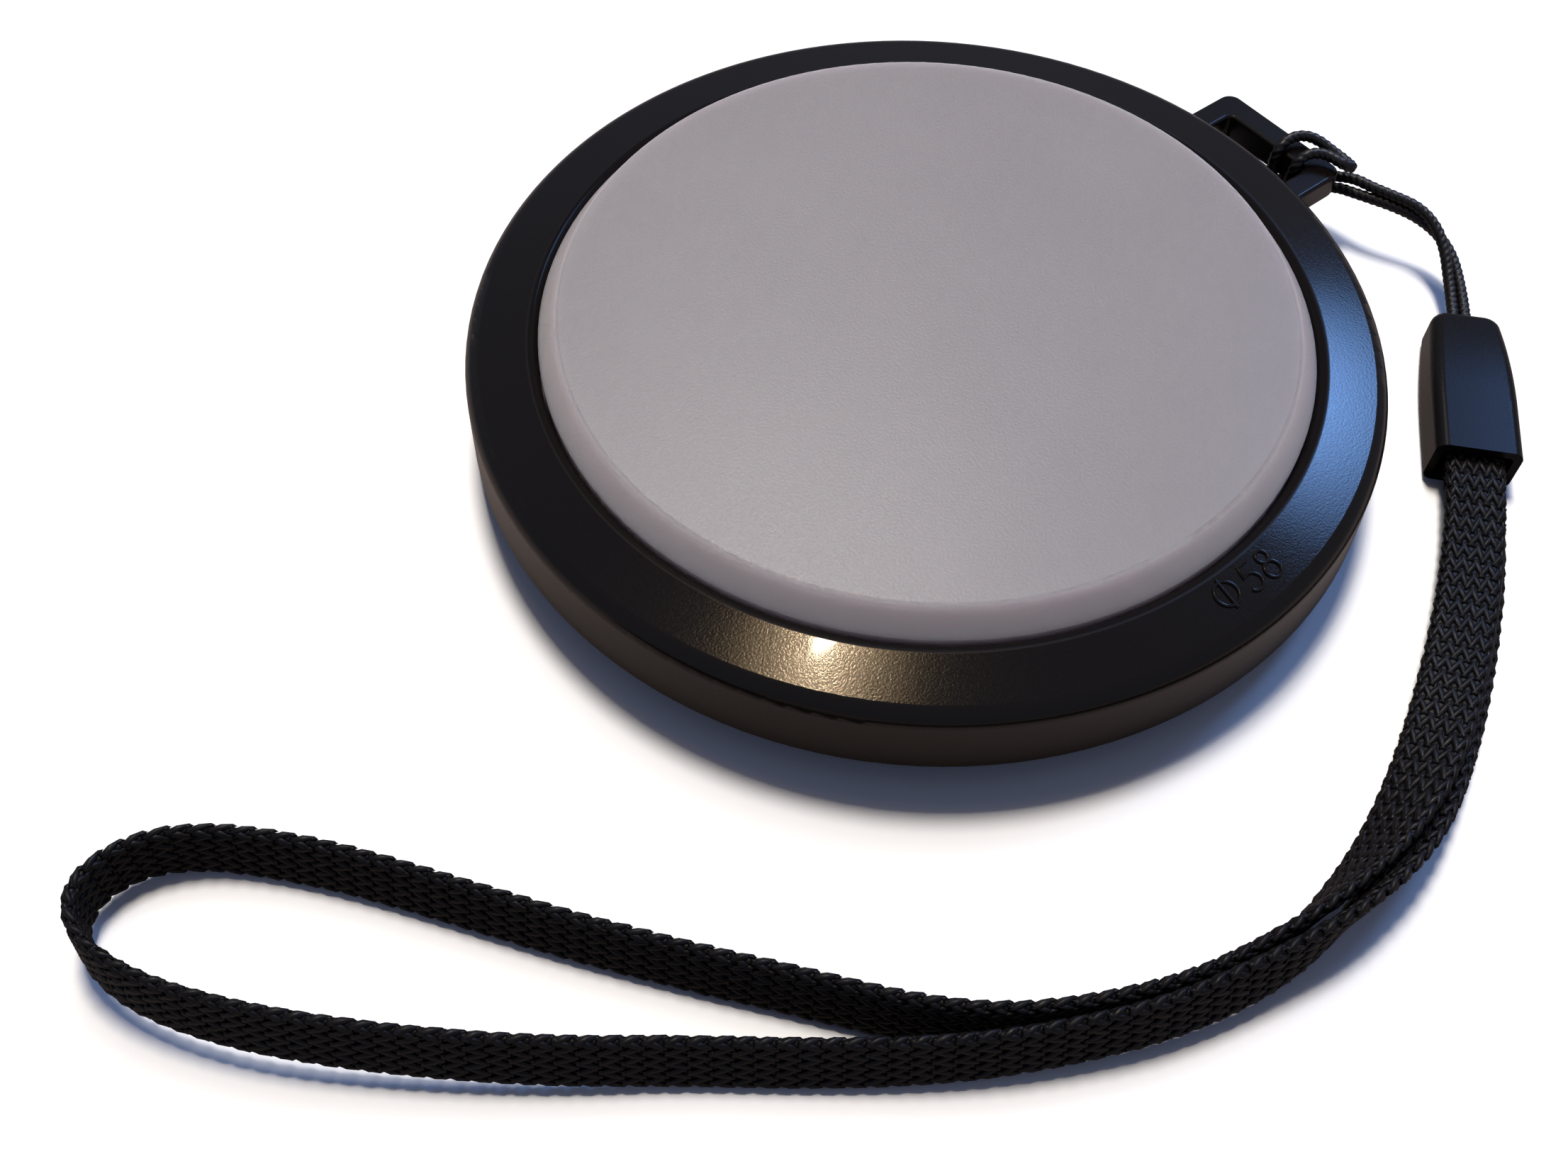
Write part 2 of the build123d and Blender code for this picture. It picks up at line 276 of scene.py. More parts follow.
bezelPlastic = mouldedPlastic(
    "bezelPlastic", finishes["bezel"], Specular_IOR_Level=0.42, Specular_Tint=(1.0, 0.93, 0.85, 1),
    Coat_Weight=0.12, Coat_Roughness=0.05,
)
clipPlastic = mouldedPlastic("clipPlastic", finishes["clip_ring"])
connectorPlastic = mouldedPlastic("connectorPlastic", finishes["strap_connector"], Specular_IOR_Level=0.11)
diffuserMilk = mouldedPlastic(
    "diffuserMilk", finishes["diffuser"], Subsurface_Weight=1.0, Subsurface_Radius=(1.0, 0.9, 0.9),
    Subsurface_Scale=4 * mm,
)
for node, material in (
    ("bezel", bezelPlastic),
    ("clip_ring", clipPlastic),
    ("strap_connector", connectorPlastic),
    ("diffuser", diffuserMilk),
):
    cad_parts[node].data.materials[0] = material
print("plastics assigned")


# bezel, as in the CAD but with the lug's outer corners rounded

lugCorners = {
    "reach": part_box("bezel")[1][0],
    "halfWidth": 6.15 * mm,
    "radius": 1.1 * mm,
    "steps": 8,
    "slack": 0.001 * mm,  # for a point on a cut
    "weld": 0.00001 * mm,  # joins the seams between the CAD faces
}


def roundCorners(mesh, settings):
    radius, slack = settings["radius"], settings["slack"]
    middleX, middleY = settings["reach"] - radius, settings["halfWidth"] - radius
    kept = mesh.attributes.new("cadNormal", "FLOAT_VECTOR", "CORNER")
    for spot, normal in zip(kept.data, mesh.corner_normals):
        spot.vector = normal.vector
    shape = bmesh.new()
    shape.from_mesh(mesh)
    bmesh.ops.remove_doubles(shape, verts=shape.verts[:], dist=settings["weld"])
    normals = shape.loops.layers.float_vector["cadNormal"]

    def inCorner(face, side):
        return all(v.co.x > middleX - slack and side * v.co.y > middleY - slack for v in face.verts)

    def cut(faces, middle, normal):
        edges = {edge for face in faces for edge in face.edges}
        corners = {vertex for face in faces for vertex in face.verts}
        bmesh.ops.bisect_plane(
            shape, geom=[*corners, *edges, *faces], dist=slack, plane_co=middle, plane_no=normal,
        )

    for side in (-1, 1):
        middle = Vector((middleX, side * middleY, 0))
        for normal in ((1, 0, 0), (0, 1, 0)):
            cut([face for face in shape.faces if any(v.co.x > middleX for v in face.verts)], middle, normal)
        for step in range(1, settings["steps"]):
            turn = math.pi / 2 * step / settings["steps"]
            faces = [face for face in shape.faces if inCorner(face, side)]
            cut(faces, middle, (-math.sin(turn), side * math.cos(turn), 0))
        faces = [face for face in shape.faces if inCorner(face, side)]
        for vertex in {vertex for face in faces for vertex in face.verts}:
            out = Vector((vertex.co.x - middle.x, vertex.co.y - middle.y))
            if out.length > slack:  # the square's rings become the quarter circle's
                out *= max(abs(out.x), abs(out.y)) / out.length
                vertex.co.x, vertex.co.y = middle.x + out.x, middle.y + out.y
        for loop in (loop for face in faces for loop in face.loops):
            out = (loop.vert.co - middle).xy
            if out.length > slack:
                normal = loop[normals]
                sideways = out.normalized() * normal.xy.length
                loop[normals] = (sideways.x, sideways.y, normal.z)
    shape.to_mesh(mesh)
    shape.free()
    mesh.polygons.foreach_set("use_smooth", [True] * len(mesh.polygons))
    turned = [spot.vector.copy() for spot in mesh.attributes["cadNormal"].data]
    mesh.attributes.remove(mesh.attributes["cadNormal"])
    mesh.normals_split_custom_set(turned)
    return mesh


bezelMesh = roundCorners(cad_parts["bezel"].data.copy(), lugCorners)
capBezel = bpy.data.objects.new("capBezel", bezelMesh)
scene.collection.objects.link(capBezel)
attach(capBezel, "root")
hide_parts("bezel")
print("bezel:", len(capBezel.data.polygons), "faces")


# raised thread size on the bezel's sloping face
# its strokes are laid out flat in millimetres, x along the ring, y towards its middle

sizeMark = {
    "ringRadius": 30.0,
    "turn": -86.4,  # degrees round the ring
    "strokeRadius": 0.12 * mm,
    "lipRadius": 27.6,
    "lipHeight": 6.1,
    "slope": 0.85 / 5.45,
    "proud": 0.02,
    "circles": [(-2.1, 0.25, 0.85), (1.8, 0.68, 0.44), (1.7, -0.35, 0.58)],  # x, y, radius
    "bar": [(-2.05, 1.36), (-2.15, -0.86)],
    "flag": [(0.62, 1.15), (-0.22, 1.15), (-0.37, 0.33)],
    "bowl": (0.0, -0.17, 0.62, 127, -145),  # x, y, radius, from and to in degrees
    "circleSteps": 28,
    "bowlSteps": 22,
    "sides": 10,
}


def markStrokes(mark):
    def arc(x, y, radius, start, end, steps):
        turns = [math.radians(start + (end - start) * i / steps) for i in range(steps + 1)]
        return [(x + radius * math.cos(turn), y + radius * math.sin(turn)) for turn in turns]

    strokes = [(arc(*circle, 0, 360, mark["circleSteps"])[:-1], True) for circle in mark["circles"]]
    strokes.append((mark["bar"], False))
    strokes.append((mark["flag"] + arc(*mark["bowl"], mark["bowlSteps"]), False))
    points, edges = [], []
    for stroke, closed in strokes:
        first, count = len(points), len(stroke)
        for x, y in stroke:
            radius, turn = mark["ringRadius"] - y, math.radians(mark["turn"]) + x / mark["ringRadius"]
            height = mark["lipHeight"] - (radius - mark["lipRadius"]) * mark["slope"] + mark["proud"]
            points.append((radius * math.cos(turn) * mm, radius * math.sin(turn) * mm, height * mm))
        edges += [(first + i, first + (i + 1) % count) for i in range(count if closed else count - 1)]
    return points, edges


def strokeTree():
    tree, given, result = newTree("raisedStroke", strokeRadius=0.0, plastic=bezelPlastic)
    ring = ringCurve(tree, sizeMark["sides"], given["strokeRadius"])
    tube = sweep(tree, lineOf(tree, given["Geometry"]), ring)
    return closeTree(tree, tube, given["plastic"], result)


raisedMark = pathObject("raisedMark", *markStrokes(sizeMark))
growTree(raisedMark, strokeTree(), sizeMark)
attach(raisedMark, "root")
print("raised mark:", len(raisedMark.data.polygons), "faces")


# thin cord, hitched round the lug

thinCord = {
    "diameter": 0.92 * mm,
    "twistPitch": 1.6 * mm,
    "strands": 3,
    "strandDepth": 0.13,  # share of the radius
    "sides": 15,
    "sampleStep": 0.14 * mm,
    "colour": (0.0035, 0.003, 0.0034), "paler": (0.013, 0.011, 0.011), "smooth": 0.24, "rough": 0.42,
    "lines": (15.0, 15.0, 0.9), "lineDepth": 0.008 * mm,
    "length": 67 * mm,
    "exit": (0.04, -0.0065, 0.0021),
    "route": [
        (0.03617, -0.02121, -0.0012), (0.0383, -0.01925, -0.0012), (0.04005, -0.0171, -0.00055),
        (0.04115, -0.0154, 0.0005), (0.04185, -0.0135, 0.00135), (0.04175, -0.0116, 0.0019),
        (0.04095, -0.0098, 0.0021), (0.0403, -0.0081, 0.00215), (0.04005, -0.0065, 0.0021),
        (0.0398, -0.0049, 0.0014), (0.03905, -0.0034, 0.00065), (0.03765, -0.0023, 0.0005),
        (0.03625, -0.0018, 0.0006), (0.0357, -0.0016, 0.0016), (0.0357, -0.00145, 0.003),
        (0.03625, -0.00135, 0.004), (0.0375, -0.0014, 0.0042), (0.0385, -0.002, 0.0042),
        (0.0391, -0.0029, 0.00395), (0.0394, -0.00395, 0.0036), (0.0396, -0.005, 0.0034),
        (0.0395, -0.0058, 0.0034), (0.0392, -0.0063, 0.0036), (0.0388, -0.0064, 0.0038),
        (0.0383, -0.00595, 0.0041), (0.03815, -0.00515, 0.0042), (0.0379, -0.00435, 0.00425),
        (0.0373, -0.0038, 0.00425), (0.0366, -0.0035, 0.00415), (0.036, -0.0034, 0.00375),
        (0.0357, -0.0034, 0.0029), (0.0357, -0.00335, 0.0016), (0.03625, -0.0034, 0.0006),
        (0.03755, -0.00375, 0.00045), (0.03875, -0.0046, 0.00055), (0.03935, -0.0057, 0.001),
        (0.03955, -0.0069, 0.00125), (0.03995, -0.0084, 0.00145), (0.0408, -0.0102, 0.0014),
        (0.0417, -0.012, 0.00105), (0.04215, -0.0139, 0.00048), (0.04185, -0.0158, -0.00015),
        (0.04075, -0.01762, -0.00072), (0.03889, -0.01991, -0.0012), (0.03676, -0.02186, -0.0012),
    ],
}


def drawnFibre(name, finish, **sockets):
    material, tree, shader = newMaterial(name, **sockets)
    apart = 30.0  # each yarn reads its own stretch of the noise
    leastShade = 0.35
    spot = put(tree, "ShaderNodeAttribute", attribute_name="fibre").outputs["Vector"]  # z along the yarn
    tone = put(tree, "ShaderNodeAttribute", attribute_name="tone").outputs["Fac"]
    drawn = combine(tree, z=calc(tree, "MULTIPLY", tone, apart))
    drawn = vectorCalc(tree, "ADD", drawn, vectorCalc(tree, "MULTIPLY", spot, finish["lines"]))
    lines = noise(tree, drawn, 1.0, 2.0)
    # painted shade on the cord: its 'tone' follows the strands' crowns, so the grooves come out darker; on
    # the strap 'tone' is a chance tone for each stitch
    shade = calc(tree, "MULTIPLY", calc(tree, "ADD", tone, leastShade), lines)
    colour = mixColour(tree, shade, (*finish["colour"], 1), (*finish["paler"], 1))
    shine = ramp(tree, lines, *noiseSpan, finish["smooth"], finish["rough"])
    wire(tree, shader, colour, shine, lines, finish["lineDepth"])
    return material


def twistTree():
    tree, given, result = newTree(
        "twistedCord", diameter=0.0, twistPitch=0.0, strandDepth=0.0, sampleStep=0.0,
        fibre=drawnFibre("cordFibre", thinCord, Specular_IOR_Level=0.6),
    )
    line = put(tree, "GeometryNodeResampleCurve", {
        "Curve": lineOf(tree, given["Geometry"]), "Length": given["sampleStep"],
    }, mode="LENGTH").outputs[0]
    along = put(tree, "GeometryNodeSplineParameter").outputs["Length"]
    line = keep(tree, line, "along", calc(tree, "DIVIDE", along, given["diameter"]), "FLOAT")
    turn = calc(tree, "MULTIPLY", calc(tree, "DIVIDE", along, given["twistPitch"]), math.tau)
    line = put(tree, "GeometryNodeSetCurveTilt", {"Curve": line, "Tilt": turn}).outputs[0]
    # round section, dented between the strands
    ring = ringCurve(tree, thinCord["sides"], calc(tree, "MULTIPLY", given["diameter"], 0.5))
    place = put(tree, "GeometryNodeInputPosition").outputs[0]
    parts = split(tree, place)
    angle = calc(tree, "MULTIPLY", calc(tree, "ARCTAN2", parts[1], parts[0]), thinCord["strands"])
    crown = calc(tree, "MULTIPLY", calc(tree, "ADD", calc(tree, "COSINE", angle), 1.0), 0.5)
    # painted shade: 'tone' is lowest in the grooves between the strands, and the fibre material paints them
    # darker
    ring = keep(tree, ring, "tone", crown, "FLOAT")
    inDiameters = stretch(tree, place, calc(tree, "DIVIDE", 1.0, given["diameter"]))
    ring = keep(tree, ring, "section", inDiameters, "FLOAT_VECTOR")
    dent = calc(tree, "MULTIPLY", calc(tree, "SUBTRACT", crown, 1.0), given["strandDepth"])
    ring = put(tree, "GeometryNodeSetPosition", {
        "Geometry": ring, "Position": stretch(tree, place, calc(tree, "ADD", dent, 1.0)),
    }).outputs[0]
    tube = sweep(tree, line, ring)
    run = combine(tree, z=named(tree, "along", "FLOAT"))
    fibre = vectorCalc(tree, "ADD", named(tree, "section", "FLOAT_VECTOR"), run)
    tube = keep(tree, tube, "fibre", fibre, "FLOAT_VECTOR")
    return closeTree(tree, tube, given["fibre"], result)


cordLine = splinePoints("lugCordLine", thinCord["route"])
lugCord = growTree(pathObject("lugCord", cordLine), twistTree(), thinCord)
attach(lugCord, "root")
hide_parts("lug_cord")
print("thin cord:", round(runLength(cordLine) / mm, 1), "mm,", len(lugCord.data.polygons), "faces")


# knitted wrist strap: one band, doubled out of the connector, then open as a loop

knitStrap = {
    "width": 4.3 * mm,
    "thickness": 0.9 * mm,
    "layerPitch": 1.42 * mm,
    "tuck": 0.1,  # share by which the under layer rolls further, in against the other
    "length": 254 * mm,
    "coursePitch": 1.25 * mm,
    "wales": 10,
    "yarnWidth": 0.5 * mm,
    "yarnHeight": 0.34 * mm,
    "slant": math.radians(25.0),
    "tilt": math.radians(2.5),
    "stray": (0.06, 0.03, 0.09),  # chance turns of a grain, in radians
    "seed": 3,
    "grainLength": 1.5,  # in courses
    "grainSides": (6, 4),  # round and along
    "cornerSteps": 5,
    "coreColumns": 25,
    "coreSink": 0.12,  # share of the yarn's height
    "endPoint": 0.01 * mm,
    "weld": 0.0005 * mm,
    "colour": (0.0022, 0.0018, 0.0023), "paler": (0.0085, 0.007, 0.0074), "smooth": 0.34, "rough": 0.56,
    "lines": (8.0, 8.0, 1.2), "lineDepth": 0.012 * mm,
    "floor": -2.92 * mm,  # just off the table, for the stitches' bulge
    "mouth": (0.0268, -0.0304, -0.00105),
    "doubled": [  # x, y, roll in degrees, slip of the under layer along the band's width
        (0.0327, -0.025, 0, 0.0), (0.0268, -0.0304, 0, 0.00025), (0.0217, -0.0347, 0, 0.00065),
        (0.0143, -0.0396, 4, 0.0006), (0.0063, -0.044, 20, 0.0003), (-0.0005, -0.0467, 48, 0.0004),
        (-0.007, -0.0477, 74, 0.0008),
    ],
    "loop": [  # x, y, lean of the top edge into the loop in degrees, lift
        (-0.0132, -0.0468, -9, 0.0), (-0.0181, -0.04575, -12, 0.0), (-0.023, -0.0437, -15, 0.0),
        (-0.0277, -0.041, -17, 0.0), (-0.0318, -0.0371, -18, 0.0), (-0.0354, -0.0326, -18, 0.0),
        (-0.0398, -0.0273, -18, 0.0), (-0.0445, -0.0213, -18, 0.0), (-0.0485, -0.0157, -18, 0.0),
        (-0.0524, -0.0103, -18, 0.0), (-0.056, -0.006, -18, 0.0), (-0.0596, -0.0026, -14, 0.0),
        (-0.06318, -0.00103, -8, 0.0002), (-0.06656, -0.00169, -1, 0.0006), (-0.06788, -0.0046, 7, 0.0009),
        (-0.06695, -0.00844, 14, 0.0011), (-0.06452, -0.01248, 18, 0.0012),
        (-0.06086, -0.01683, 20, 0.00115),
        (-0.0555, -0.02195, 20, 0.00075), (-0.04953, -0.02697, 20, 0.00035), (-0.0436, -0.03125, 20, 0.0),
        (-0.0389, -0.035, 20, 0.0), (-0.0344, -0.0384, 19, 0.0001), (-0.0298, -0.0415, 17, 0.0003),
        (-0.0253, -0.04395, 16, 0.0005), (-0.0199, -0.0464, 16, 0.0007), (-0.0132, -0.0481, 17, 0.0009),
    ],
}


def strapRoute(settings):
    floor, half, pitch = settings["floor"], settings["width"] / 2, settings["layerPitch"]
    stack = pitch + settings["thickness"]

    def layer(side, ahead):
        stations = settings["doubled"]
        places = [Vector((*station[:2], 0)) for station in stations] + [Vector((*ahead[:2], 0))]
        for i, (x, y, roll, slip) in enumerate(stations):
            heading = (places[i + 1] - places[max(i - 1, 0)]).normalized()
            right = Vector((heading.y, -heading.x, 0))
            roll *= 1 + settings["tuck"] * (side < 0)
            lean, rise = math.cos(math.radians(roll)), math.sin(math.radians(roll))
            normal = right * rise + Vector((0, 0, lean))
            across = Vector((0, 0, rise)) - right * lean
            height = half * rise + stack / 2 * lean
            if i < 2:
                height = settings["mouth"][2] - floor
            centre = Vector((x, y, floor + height)) + normal * (side * pitch / 2)
            if side < 0:
                centre += across * slip
            yield centre, centre + across * half

    def standing():
        loop = settings["loop"]
        for i, (x, y, lean, lift) in enumerate(loop):
            before, after = loop[max(i - 1, 0)], loop[min(i + 1, len(loop) - 1)]
            heading = Vector((after[0] - before[0], after[1] - before[1], 0)).normalized()
            inward, rise = math.sin(math.radians(lean)), math.cos(math.radians(lean))
            across = Vector((-heading.y * inward, heading.x * inward, rise))
            centre = Vector((x, y, floor + half * rise + lift))
            yield centre, centre + across * half

    far = list(layer(1, settings["loop"][0]))
    near = list(layer(-1, settings["loop"][-1]))
    both = far + list(standing()) + near[::-1]
    return [centre for centre, edge in both], [edge for centre, edge in both]


def knitTree():
    tree, given, result = newTree(
        "knittedBand", width=0.0, thickness=0.0, coursePitch=0.0, wales=0, yarnWidth=0.0, yarnHeight=0.0,
        slant=0.0, tilt=0.0, seed=0, yarn=drawnFibre("strapYarn", knitStrap, Specular_IOR_Level=0.32),
    )
    path = lineOf(tree, given["Geometry"])
    pathLength = put(tree, "GeometryNodeCurveLength", {"Curve": path}).outputs[0]
    # section that the yarn's middle follows
    ring = put(tree, "GeometryNodeCurvePrimitiveQuadrilateral", {
        "Width": calc(tree, "SUBTRACT", given["width"], given["yarnHeight"]),
        "Height": calc(tree, "SUBTRACT", given["thickness"], given["yarnHeight"]),
    }).outputs[0]
    ring = put(tree, "GeometryNodeFilletCurve", {
        "Curve": ring, "Count": knitStrap["cornerSteps"], "Radius": given["yarnHeight"],
        "Limit Radius": True,
    }, mode="POLY").outputs[0]
    ringLength = put(tree, "GeometryNodeCurveLength", {"Curve": ring}).outputs[0]
    # one grain of yarn for each leg of each stitch, laid out flat: x along the band, y round it
    legs = calc(tree, "MULTIPLY", given["wales"], 2.0)
    courses = calc(tree, "FLOOR", calc(tree, "DIVIDE", pathLength, given["coursePitch"]))
    index = put(tree, "GeometryNodeInputIndex").outputs[0]
    course = calc(tree, "FLOOR", calc(tree, "DIVIDE", index, legs))
    leg = calc(tree, "MODULO", index, legs)
    flat = combine(
        tree,
        calc(tree, "MULTIPLY", calc(tree, "ADD", course, 1.0), given["coursePitch"]),
        calc(tree, "MULTIPLY", leg, calc(tree, "DIVIDE", ringLength, legs)),
    )
    spots = put(tree, "GeometryNodePoints", {
        "Count": calc(tree, "MULTIPLY", calc(tree, "SUBTRACT", courses, 1.0), legs), "Position": flat,
    }).outputs[0]
    chance = put(tree, "FunctionNodeRandomValue", {"Seed": given["seed"]}, data_type="FLOAT").outputs[1]
    spots = keep(tree, spots, "tone", chance, "FLOAT")
    side = calc(tree, "SUBTRACT", calc(tree, "MULTIPLY", calc(tree, "MODULO", leg, 2.0), 2.0), 1.0)
    turn = combine(tree, y=given["tilt"], z=calc(tree, "MULTIPLY", side, given["slant"]))
    stray = put(tree, "FunctionNodeRandomValue", {
        "Min": [-limit for limit in knitStrap["stray"]], "Max": knitStrap["stray"], "Seed": given["seed"],
    }, data_type="FLOAT_VECTOR").outputs[0]
    place = put(tree, "GeometryNodeInputPosition").outputs[0]
    segments, rings = knitStrap["grainSides"]
    grain = put(tree, "GeometryNodeMeshUVSphere", {
        "Segments": segments, "Rings": rings, "Radius": 0.5,
    }).outputs["Mesh"]
    grain = keep(tree, grain, "fibre", place, "FLOAT_VECTOR")
    grain = put(tree, "GeometryNodeTransform", {
        "Geometry": grain, "Rotation": (0.0, math.pi / 2, 0.0),
    }).outputs[0]
    grainRun = calc(tree, "MULTIPLY", given["coursePitch"], knitStrap["grainLength"])
    grain = put(tree, "GeometryNodeTransform", {
        "Geometry": grain, "Scale": combine(tree, grainRun, given["yarnWidth"], given["yarnHeight"]),
    }).outputs[0]
    stitches = put(tree, "GeometryNodeInstanceOnPoints", {
        "Points": spots, "Instance": grain, "Rotation": vectorCalc(tree, "ADD", turn, stray),
    }).outputs[0]
    stitches = put(tree, "GeometryNodeRealizeInstances", {"Geometry": stitches}).outputs[0]
    # plain core under the stitches
    core = put(tree, "GeometryNodeMeshGrid", {
        "Size X": pathLength, "Size Y": ringLength,
        "Vertices X": courses, "Vertices Y": knitStrap["coreColumns"],
    }).outputs["Mesh"]
    coreMiddle = combine(
        tree,
        calc(tree, "MULTIPLY", pathLength, 0.5),
        calc(tree, "MULTIPLY", ringLength, 0.5),
        calc(tree, "MULTIPLY", given["yarnHeight"], -knitStrap["coreSink"]),
    )
    core = put(tree, "GeometryNodeTransform", {"Geometry": core, "Translation": coreMiddle}).outputs[0]
    both = put(tree, "GeometryNodeJoinGeometry")
    tree.links.new(core, both.inputs[0])
    tree.links.new(stitches, both.inputs[0])
    # wrap the flat layout round the section and carry it along the path
    parts = split(tree, place)
    spot = put(tree, "GeometryNodeSampleCurve", {
        "Curves": path, "Value": named(tree, "across", "FLOAT_VECTOR"), "Length": parts[0],
    }, mode="LENGTH", data_type="FLOAT_VECTOR")
    wide = vectorCalc(tree, "NORMALIZE", spot.outputs["Value"])
    thick = vectorCalc(tree, "NORMALIZE", vectorCalc(tree, "CROSS_PRODUCT", spot.outputs["Tangent"], wide))
    rim = put(tree, "GeometryNodeSampleCurve", {
        "Curves": ring, "Length": calc(tree, "FLOORED_MODULO", parts[1], ringLength),
    }, mode="LENGTH")
    rimPlace = split(tree, rim.outputs["Position"])
    rimRun = split(tree, rim.outputs["Tangent"])
    wideBy = calc(tree, "ADD", rimPlace[0], calc(tree, "MULTIPLY", rimRun[1], parts[2]))
    thickBy = calc(tree, "SUBTRACT", rimPlace[1], calc(tree, "MULTIPLY", rimRun[0], parts[2]))
    laid = vectorCalc(tree, "ADD", stretch(tree, wide, wideBy), stretch(tree, thick, thickBy))
    # the core's end rows draw in to a point, which closes it
    left = calc(tree, "SUBTRACT", pathLength, parts[0])
    inside = calc(tree, "GREATER_THAN", calc(tree, "MINIMUM", parts[0], left), knitStrap["endPoint"])
    laid = vectorCalc(tree, "ADD", spot.outputs["Position"], stretch(tree, laid, inside))
    band = put(tree, "GeometryNodeSetPosition", {"Geometry": both.outputs[0], "Position": laid}).outputs[0]
    band = put(tree, "GeometryNodeMergeByDistance", {
        "Geometry": band, "Distance": knitStrap["weld"],
    }).outputs[0]
    band = put(tree, "GeometryNodeFlipFaces", {"Mesh": band}).outputs[0]
    return closeTree(tree, band, given["yarn"], result)


strapCentres, strapEdges = strapRoute(knitStrap)
strapLine = splinePoints("strapLine", strapCentres)
strapEdge = splinePoints("strapEdge", strapEdges)
wristStrap = pathObject("wristStrap", strapLine)
across = wristStrap.data.attributes.new("across", "FLOAT_VECTOR", "POINT")
for spot, centre, edge in zip(across.data, strapLine, strapEdge):
    spot.vector = (edge - centre).normalized()
growTree(wristStrap, knitTree(), knitStrap)
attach(wristStrap, "root")
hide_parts("wrist_strap")
print("wrist strap:", round(runLength(strapLine) / mm, 1), "mm,", len(wristStrap.data.polygons), "faces")


# floor and light

studio = {
    "floorSize": 1.6,
    "floorHeight": -3.0 * mm,
    "floorColour": (0.2, 0.155, 0.14),  # as it lights the object from below
    "paperWhite": (1.05, 1.05, 1.05),  # as it is seen
    "paperFades": (0.14, 0.34),  # distances between which it turns into the white background
    "skyColour": (0.55, 0.64, 1.0),
    "skyStrength": 0.15,
    "glossShare": 0.07,  # of the white that gloss shows
    "lamps": {
        "keyPanel": {
            "place": (0.177, 0.253, 0.951), "size": (0.2, 0.2), "power": 7.4, "colour": (1.0, 0.955, 0.91),
            "inGloss": False,
        },
        "sheenPanel": {
            "place": (0.287, 0.41, 0.866), "size": (0.32, 0.32), "power": 3.2, "colour": (1.0, 0.96, 0.92),
            "skips": (capBezel, raisedMark),
        },
        "bulb": {
            "place": (0.0921, 0.2135, 0.9717), "size": (0.034, 0.016), "power": 0.6,
            "colour": (1.0, 0.88, 0.66),
        },
        "lampShade": {
            "place": (0.093, 0.2156, 0.981), "size": (0.26, 0.26), "power": 1.45,
            "colour": (1.0, 0.7, 0.38), "fades": True,
        },
        "sideWindow": {
            "place": (0.616, 0.0906, 0.533), "size": (0.2, 0.36), "roll": 32, "power": 4.2,
            "colour": (0.2, 0.43, 1.0), "fades": True,
        },
    },
}


def softLight(name, place, size, power, colour, roll=0, fades=False, inGloss=True, skips=()):
    data = bpy.data.lights.new(name, "AREA")
    data.shape = "ELLIPSE"
    data.size, data.size_y = size
    data.energy = power
    data.color = colour
    if fades:
        data.use_nodes = True
        tree = data.node_tree
        spot = put(tree, "ShaderNodeNewGeometry").outputs["Parametric"]
        away = lengthOf(tree, vectorCalc(tree, "SUBTRACT", spot, (0.5, 0.5, 0.0)))  # from its middle
        fade = ramp(tree, away, 0.0, 0.5, 1.0, 0.0)
        tree.links.new(fade, tree.nodes["Emission"].inputs["Strength"])
    light = bpy.data.objects.new(name, data)
    light.visible_glossy = inGloss
    light.location = place
    aim = (-Vector(place)).to_track_quat("-Z", "Y")  # towards the cap
    light.rotation_euler = (aim @ Quaternion((0, 0, 1), math.radians(roll))).to_euler()
    scene.collection.objects.link(light)
    if skips:  # pieces that it doesn't light
        unlit = bpy.data.collections.new(name + "Skips")
        for piece in skips:
            unlit.objects.link(piece)
        for item in unlit.collection_objects:
            item.light_linking.link_state = "EXCLUDE"
        light.light_linking.receiver_collection = unlit


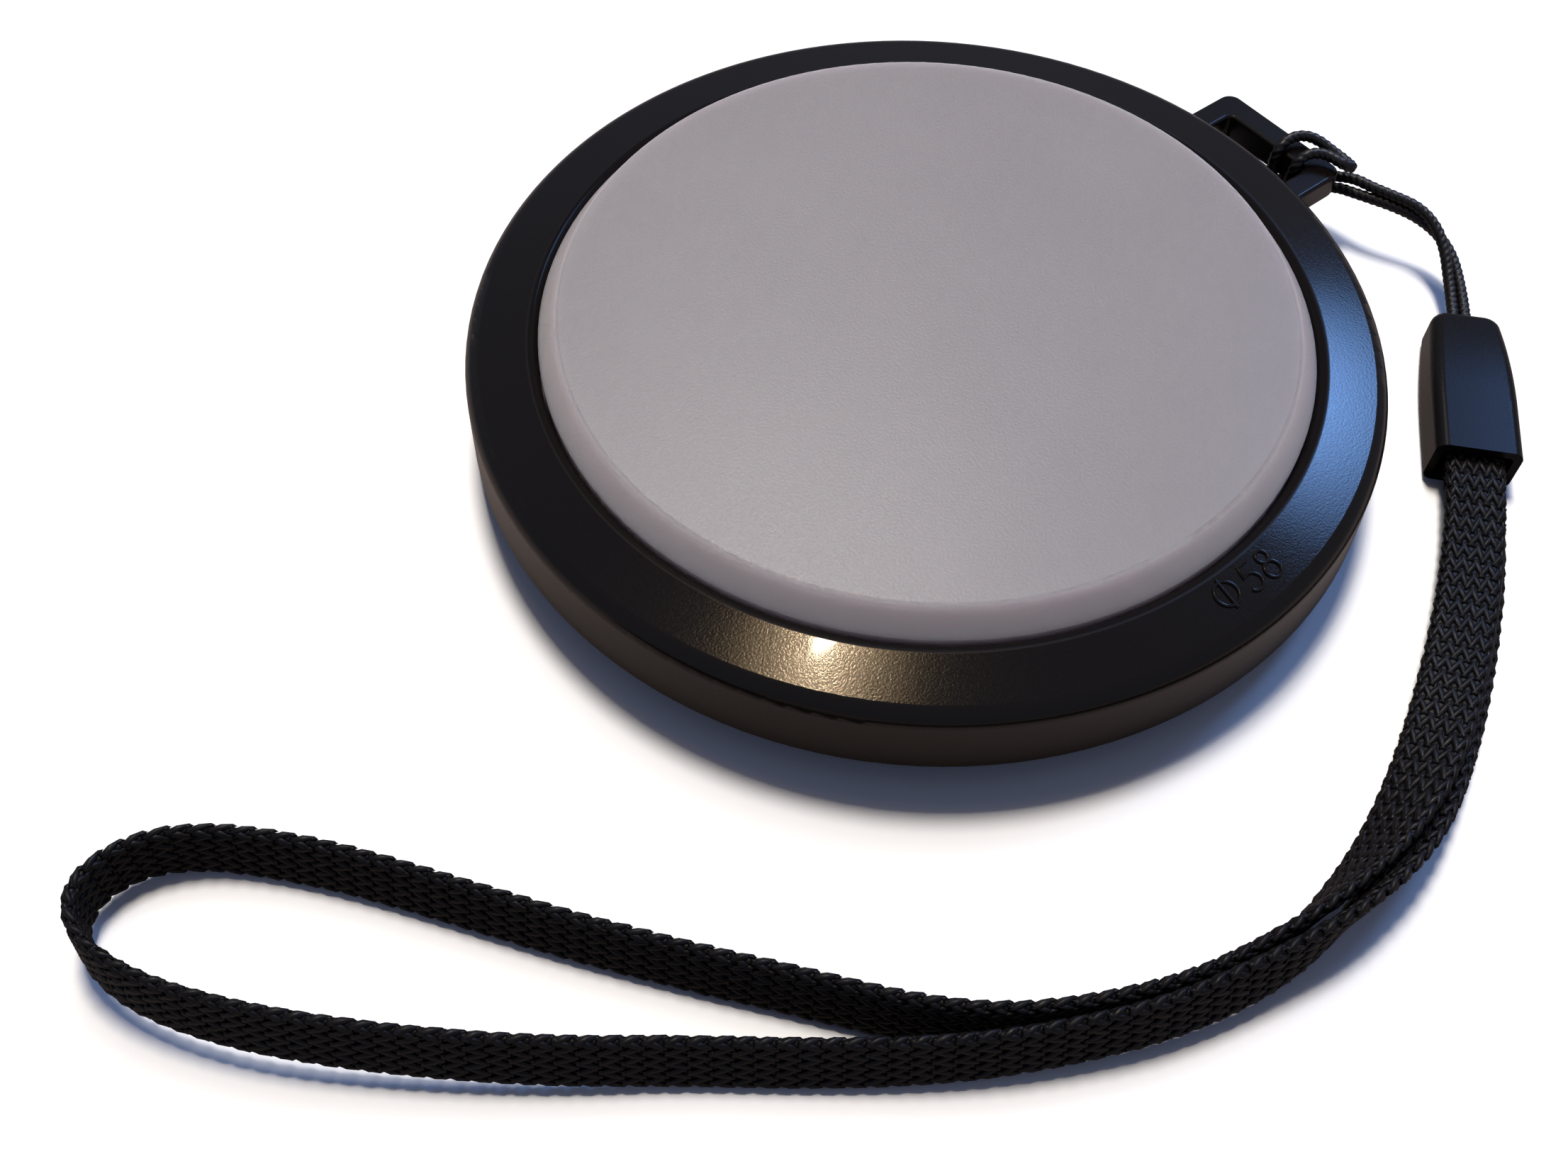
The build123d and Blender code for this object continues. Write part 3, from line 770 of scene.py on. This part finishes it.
def seenAsWhite(tree):
    rays = put(tree, "ShaderNodeLightPath").outputs
    shine = calc(tree, "MAXIMUM", rays["Is Glossy Ray"], rays["Is Transmission Ray"])
    return calc(tree, "MAXIMUM", rays["Is Camera Ray"], calc(tree, "MULTIPLY", shine, studio["glossShare"]))


floorMesh = bpy.data.meshes.new("floor")
half = studio["floorSize"] / 2
floorCorners = [(-half, -half, 0), (half, -half, 0), (half, half, 0), (-half, half, 0)]
floorMesh.from_pydata(floorCorners, [], [(0, 1, 2, 3)])
floor = bpy.data.objects.new("floor", floorMesh)
floor.location.z = studio["floorHeight"]
scene.collection.objects.link(floor)
floorMaterial, floorTree, floorShader = newMaterial("floorPaper", Roughness=0.9, Specular_IOR_Level=0.1)
floorTone = mixColour(
    floorTree, seenAsWhite(floorTree), (*studio["floorColour"], 1), (*studio["paperWhite"], 1),
)
floorTree.links.new(floorTone, floorShader.inputs["Base Color"])
floorPlace = put(floorTree, "ShaderNodeTexCoord").outputs["Object"]
fade = ramp(floorTree, lengthOf(floorTree, floorPlace), *studio["paperFades"])
fade = calc(floorTree, "MULTIPLY", fade, put(floorTree, "ShaderNodeLightPath").outputs["Is Camera Ray"])
white = put(floorTree, "ShaderNodeEmission", {"Color": (1, 1, 1, 1), "Strength": 1.0}).outputs[0]
paper = put(floorTree, "ShaderNodeMixShader", {0: fade, 1: floorShader.outputs[0], 2: white}).outputs[0]
floorTree.links.new(paper, floorTree.nodes["Material Output"].inputs["Surface"])
floorMesh.materials.append(floorMaterial)

world = bpy.data.worlds.new("studioWorld")
world.use_nodes = True
scene.world = world
worldTree = world.node_tree
sky = worldTree.nodes["Background"]
sky.inputs["Color"].default_value = (*studio["skyColour"], 1)
sky.inputs["Strength"].default_value = studio["skyStrength"]
backdrop = put(worldTree, "ShaderNodeBackground", {"Color": (1, 1, 1, 1), "Strength": 1.0})
seen = put(worldTree, "ShaderNodeMixShader", {
    0: seenAsWhite(worldTree), 1: sky.outputs[0], 2: backdrop.outputs[0],
})
worldTree.links.new(seen.outputs[0], worldTree.nodes["World Output"].inputs["Surface"])

for name, lamp in studio["lamps"].items():
    softLight(name, **lamp)
scene.view_settings.view_transform = "Standard"
print("floor and light set")
